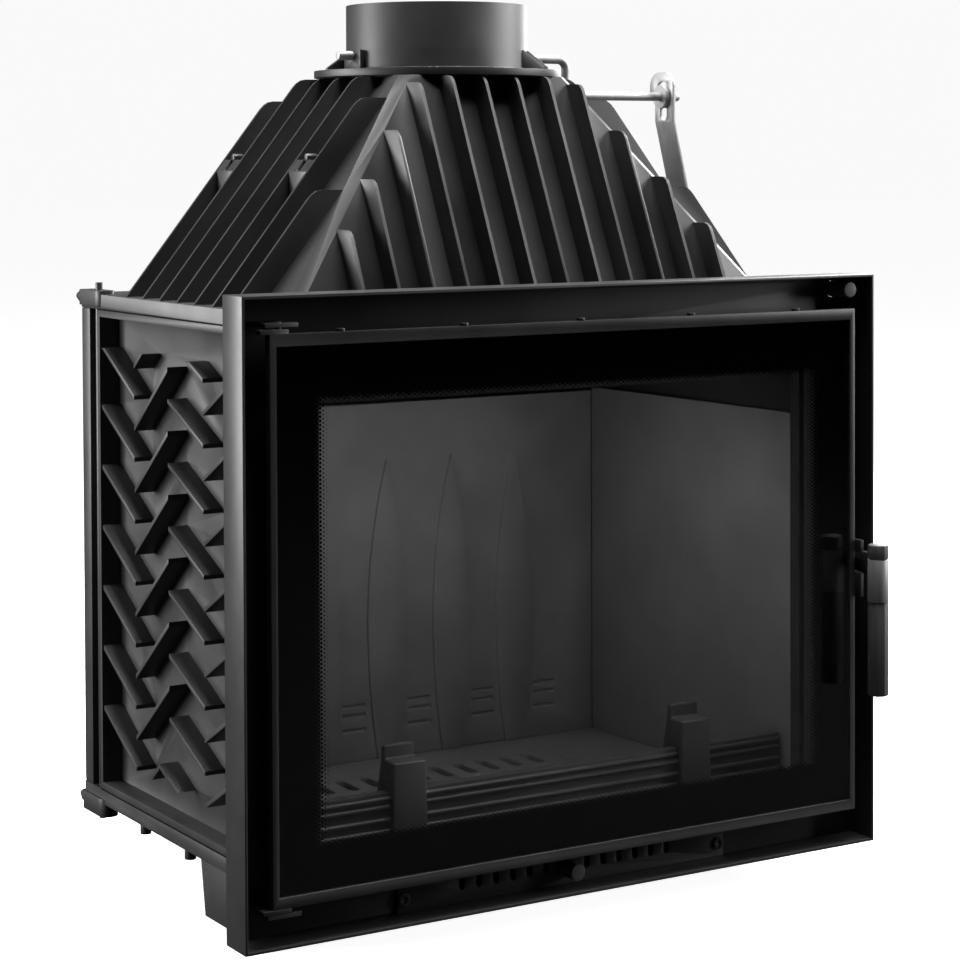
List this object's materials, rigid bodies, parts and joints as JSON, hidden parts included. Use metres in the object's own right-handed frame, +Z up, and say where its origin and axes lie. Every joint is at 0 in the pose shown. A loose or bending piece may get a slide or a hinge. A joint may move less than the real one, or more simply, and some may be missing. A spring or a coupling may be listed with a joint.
{
  "type": "fireplace insert",
  "caption": "Wood-burning fireplace insert with a hinged glass door, a finned smoke hood, a round flue collar with a damper and a sliding air control.",
  "frame": {"origin": "on the flue axis, in the plane of the ash box's underside that the insert stands on", "axes": "+X to the right seen from the front, +Y from the door to the back, +Z up along the flue axis"},
  "size_m": [0.76, 0.5851, 0.9422],
  "materials": {
    "cast_iron": "matt black stove paint on fine sand-cast iron",
    "black_steel": "smooth satin black stove enamel",
    "black_sheet": "matt black painted sheet",
    "chamber_iron": "bare dark grey cast iron, matt and slightly sooty",
    "bare_steel": "zinc-plated and plain steel, satin",
    "fire_glass": "clear ceramic glass with a black printed border that fades out in dots",
    "rope_seal": "grey braided glass-fibre rope",
    "black_handle": "satin black"
  },
  "bodies": {
    "casing": {"portal_frame": "black_steel", "front_plate": "cast_iron", "air_grille": "black_steel", "grille_screws": "black_steel", "side_panel_left": "cast_iron", "side_panel_right": "cast_iron", "back_panel": "cast_iron", "top_plate": "cast_iron", "base_plate": "cast_iron", "tie_rods": "black_steel", "tie_rod_nuts": "black_steel", "lug_bolts": "black_steel", "base_pegs": "cast_iron", "ash_box": "black_sheet", "ash_pan": "black_sheet", "hood": "cast_iron", "ear_brackets": "cast_iron", "ear_bolts": "black_steel", "flue_collar": "cast_iron", "collar_gussets": "cast_iron", "shaft_lugs": "cast_iron", "collar_screws": "black_steel", "hearth_floor": "chamber_iron", "grate": "chamber_iron", "back_lining": "chamber_iron", "side_lining_left": "chamber_iron", "side_lining_right": "chamber_iron", "baffle": "chamber_iron", "baffle_rails": "cast_iron", "log_retainer": "cast_iron", "log_posts": "cast_iron", "upper_hinge_bracket": "black_steel", "lower_hinge_bracket": "black_steel", "latch_keeper": "black_steel", "rod_guides": "cast_iron", "air_rod_guide": "cast_iron"},
    "door": {"door_frame": "black_steel", "glass": "fire_glass", "door_screws": "black_steel", "door_seal": "rope_seal", "hinge_pins": "black_steel", "hinge_ear": "black_steel", "handle_bracket": "black_steel", "handle_pivot": "bare_steel"},
    "handle": {"handle_arm": "black_steel", "handle_sleeve": "bare_steel", "handle_grip": "black_handle", "handle_cap": "black_handle"},
    "damper_control": {"damper_knob": "black_handle", "damper_rod": "bare_steel", "damper_lever": "bare_steel"},
    "damper": {"damper_shaft": "bare_steel", "damper_disc": "cast_iron", "disc_saddles": "bare_steel", "crank_washers": "bare_steel"},
    "air_control": {"air_knob": "black_handle", "air_rod": "bare_steel", "air_valve": "cast_iron"}
  },
  "joints": [
    {"name": "door_hinge", "type": "hinge", "parent": "casing", "child": "door", "pos_m": [-0.341, -0.287, 0.3385], "axis": [0, 0, -1], "range_deg": [0, 110]},
    {"name": "handle_turn", "type": "hinge", "parent": "door", "child": "handle", "pos_m": [0.362, -0.276, 0.334], "axis": [0, 0, 1], "range_deg": [-15, 30]},
    {"name": "damper_slide", "type": "slide", "parent": "casing", "child": "damper_control", "axis": [0, 1, 0], "range_m": [-0.029, 0.029]},
    {"name": "damper_turn", "type": "hinge", "parent": "casing", "child": "damper", "pos_m": [0, 0, 0.8862], "axis": [1, 0, 0], "range_deg": [-45, 45]},
    {"name": "air_slide", "type": "slide", "parent": "casing", "child": "air_control", "axis": [0, 1, 0], "range_m": [-0.03, 0]}
  ],
  "couplings": [
    {"joint": "damper_turn", "follows": "damper_slide", "rad_per_m": 27.083}
  ]
}
